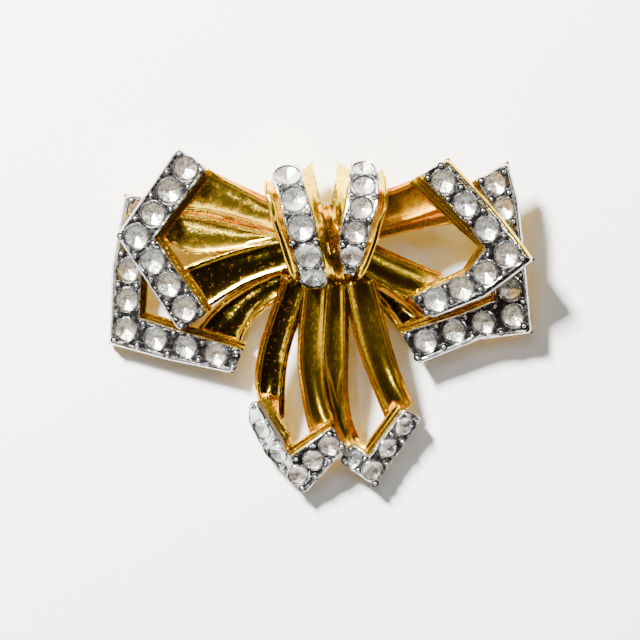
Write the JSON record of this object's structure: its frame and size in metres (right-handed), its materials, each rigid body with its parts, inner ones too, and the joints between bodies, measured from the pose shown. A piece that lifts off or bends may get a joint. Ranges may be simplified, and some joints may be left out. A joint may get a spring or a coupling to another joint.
{
  "type": "bow brooch",
  "caption": "Gilt bow brooch with two fluted loops on each side, two tails and a two-lobed knot, edged with stone-set silvery bands, and a plain pin behind.",
  "frame": {"origin": "centre of the footprint, on the surface that the brooch lies on with its face up", "axes": "+X to the right across the loops, +Y up the bow away from the tails, +Z out of the face"},
  "size_m": [0.0569, 0.0462, 0.013],
  "materials": {
    "gold_plate": "cast and gold-plated, polished, slightly rippled in the flutes",
    "rhodium_plate": "rhodium-plated, bright-cut round the stones and beads",
    "clear_crystal": "cut and polished clear glass over a bright foil back",
    "pin_steel": "drawn steel wire"
  },
  "bodies": {
    "root": {"bow_casting": "gold_plate", "left_front_setting": "rhodium_plate", "right_front_setting": "rhodium_plate", "left_back_setting": "rhodium_plate", "right_back_setting": "rhodium_plate", "left_tail_setting": "rhodium_plate", "right_tail_setting": "rhodium_plate", "left_knot_setting": "rhodium_plate", "right_knot_setting": "rhodium_plate", "left_front_stone_1": "clear_crystal", "left_front_stone_2": "clear_crystal", "left_front_stone_3": "clear_crystal", "left_front_stone_4": "clear_crystal", "left_front_stone_5": "clear_crystal", "left_front_stone_6": "clear_crystal", "left_front_stone_7": "clear_crystal", "right_front_stone_1": "clear_crystal", "right_front_stone_2": "clear_crystal", "right_front_stone_3": "clear_crystal", "right_front_stone_4": "clear_crystal", "right_front_stone_5": "clear_crystal", "right_front_stone_6": "clear_crystal", "right_front_stone_7": "clear_crystal", "left_back_stone_1": "clear_crystal", "left_back_stone_2": "clear_crystal", "left_back_stone_3": "clear_crystal", "left_back_stone_4": "clear_crystal", "left_back_stone_5": "clear_crystal", "left_back_stone_6": "clear_crystal", "left_back_stone_7": "clear_crystal", "left_back_stone_8": "clear_crystal", "right_back_stone_1": "clear_crystal", "right_back_stone_2": "clear_crystal", "right_back_stone_3": "clear_crystal", "right_back_stone_4": "clear_crystal", "right_back_stone_5": "clear_crystal", "right_back_stone_6": "clear_crystal", "right_back_stone_7": "clear_crystal", "right_back_stone_8": "clear_crystal", "right_back_stone_9": "clear_crystal", "left_tail_stone_1": "clear_crystal", "left_tail_stone_2": "clear_crystal", "left_tail_stone_3": "clear_crystal", "left_tail_stone_4": "clear_crystal", "left_tail_stone_5": "clear_crystal", "right_tail_stone_1": "clear_crystal", "right_tail_stone_2": "clear_crystal", "right_tail_stone_3": "clear_crystal", "right_tail_stone_4": "clear_crystal", "left_knot_stones": "clear_crystal", "right_knot_stones": "clear_crystal", "pin_stem": "pin_steel"}
  },
  "joints": []
}
